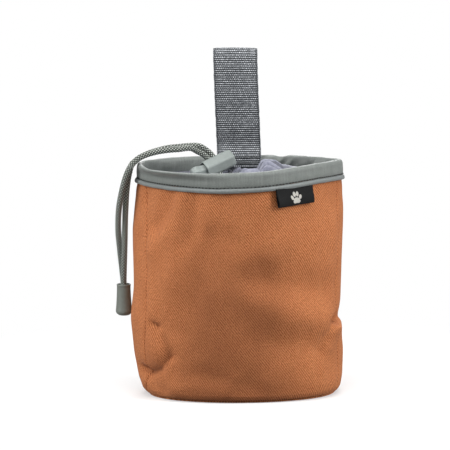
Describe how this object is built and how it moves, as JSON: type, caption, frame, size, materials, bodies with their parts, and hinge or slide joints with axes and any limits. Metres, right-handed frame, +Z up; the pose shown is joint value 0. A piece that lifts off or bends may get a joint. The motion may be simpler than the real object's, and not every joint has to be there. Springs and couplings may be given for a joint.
{
  "type": "drawstring treat pouch",
  "caption": "Soft oval pouch with a gathered drawstring collar, sprung cord lock, hanging cord tail with a bell end, stiffened rim and a webbing belt loop.",
  "frame": {"origin": "middle of the underside of the base panel, at the point its two plan half ellipses share, on the resting plane", "axes": "+Z up through the mouth, +X to the wearer-facing right along the wide side, -Y out of the front panel; the belt loop is at the back, +Y"},
  "size_m": [0.1332, 0.0867, 0.197],
  "materials": {
    "outer_cloth": "woven polyester twill, matt, rust",
    "binding_tape": "satin-weave grey binding, slight sheen",
    "lining_cloth": "thin coated nylon, violet-grey, soft sheen",
    "webbing": "ribbed polypropylene webbing, slate grey",
    "cord": "braided polyester cord, grey",
    "thread": "sewing thread, matt dark grey",
    "moulded_plastic": "moulded, satin, grey-green",
    "hoop_plastic": "extruded strip, satin",
    "spring_steel": "drawn wire",
    "ribbon": "woven ribbon, near black"
  },
  "bodies": {
    "pouch": {"front_panel": "outer_cloth", "back_panel": "outer_cloth", "base_panel": "outer_cloth", "lining_wall": "lining_cloth", "lining_base": "lining_cloth", "rim_binding": "binding_tape", "rim_stiffener": "hoop_plastic", "rim_piping": "binding_tape", "rim_topstitch": "thread", "collar_skirt": "lining_cloth", "belt_loop_inner_end": "webbing", "belt_loop_outer_end": "webbing", "bar_tack_inner": "thread", "bar_tack_outer": "thread"},
    "collar": {"collar_hem": "lining_cloth", "drawstring_cord": "cord"},
    "cord_lock": {"cord_lock_barrel": "moulded_plastic", "cord_lock_spring": "spring_steel"},
    "button": {"cord_lock_button": "moulded_plastic"},
    "tail": {"cord_tail_front": "cord", "cord_tail_rear": "cord", "cord_knot": "cord", "cord_end_bell": "moulded_plastic", "cord_end_plug": "moulded_plastic"},
    "belt_loop": {"belt_loop": "webbing"},
    "label": {"side_label": "ribbon"}
  },
  "joints": [
    {"name": "collar_lift", "type": "slide", "parent": "pouch", "child": "collar", "axis": [0, 0, 1], "range_m": [0, 0.035]},
    {"name": "lock_slide", "type": "hinge", "parent": "collar", "child": "cord_lock", "pos_m": [-0.02801, -0.00619, 0.12786], "axis": [0.3658, -0.8702, 0.3301], "range_deg": [0, 32]},
    {"name": "button_press", "type": "slide", "parent": "cord_lock", "child": "button", "axis": [0.8629, 0.45, 0.23], "range_m": [0, 0.003], "stiffness_N_per_m": 150, "springref_m": -0.002, "deforming": ["cord_lock_spring"]},
    {"name": "tail_swing", "type": "hinge", "parent": "collar", "child": "tail", "pos_m": [-0.0629, -0.0043, 0.1324], "axis": [0, 1, 0], "range_deg": [0, 75]},
    {"name": "loop_fold", "type": "hinge", "parent": "pouch", "child": "belt_loop", "pos_m": [-0.0003, 0.0283, 0.1366], "axis": [-1, 0, 0], "range_deg": [-60, 80], "stiffness_Nm_per_rad": 0.02},
    {"name": "label_flap", "type": "hinge", "parent": "pouch", "child": "label", "pos_m": [0.03162, -0.03796, 0.1217], "axis": [-0.7814, -0.624, 0], "range_deg": [0, 95]}
  ]
}
